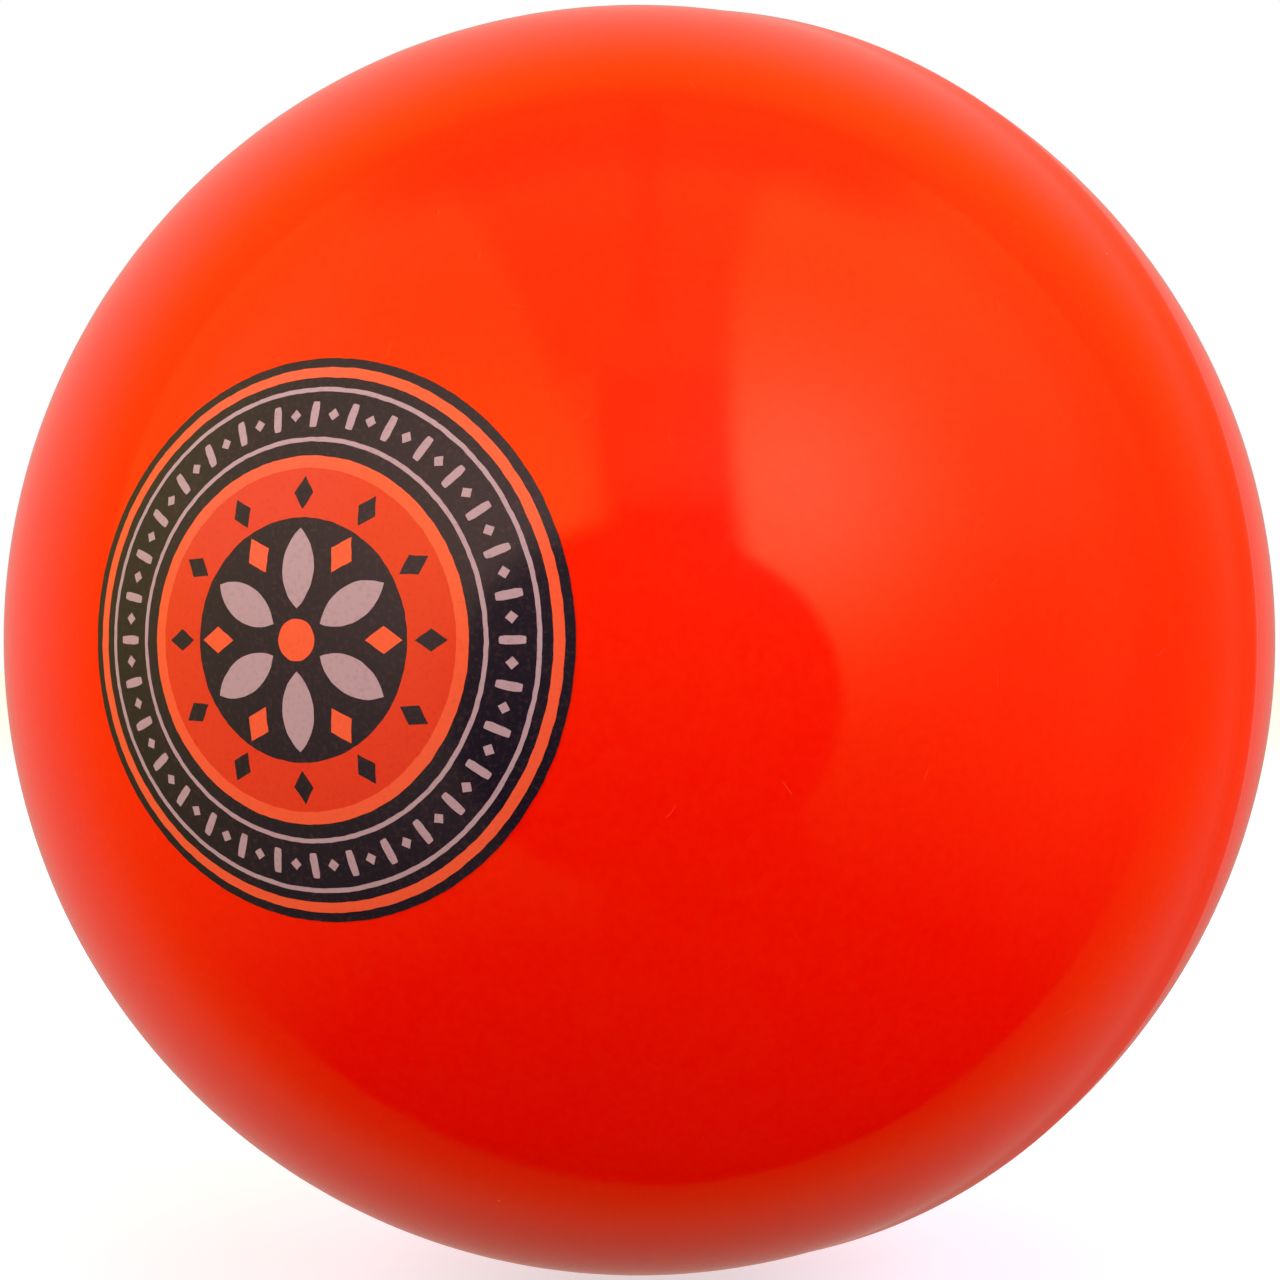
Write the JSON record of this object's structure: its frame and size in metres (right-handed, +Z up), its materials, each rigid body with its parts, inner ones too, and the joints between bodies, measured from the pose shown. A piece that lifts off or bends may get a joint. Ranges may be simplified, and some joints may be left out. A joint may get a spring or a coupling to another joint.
{
  "type": "field hockey ball",
  "caption": "Smooth orange field hockey ball with a faint raised parting line round its middle and a round dark, orange and red badge printed on one pole.",
  "frame": {"origin": "centre of the ball", "axes": "Y along the mould axis, through the centre of the badge, which faces -Y; the parting line lies in the XZ plane; +Z up in the picture"},
  "size_m": [0.0738, 0.0731, 0.0738],
  "materials": {
    "ball_skin": "smooth moulded skin, glossy orange-red, buffed along the parting line",
    "ink_dark": "charcoal printing ink, as glossy as the skin under it",
    "ink_orange": "light orange printing ink, glossy",
    "ink_red": "red printing ink, glossy",
    "ink_pale": "pale greyish pink printing ink, glossy"
  },
  "bodies": {
    "root": {"ball": "ball_skin", "print_dark": "ink_dark", "print_orange": "ink_orange", "print_red": "ink_red", "print_pale": "ink_pale"}
  },
  "joints": []
}
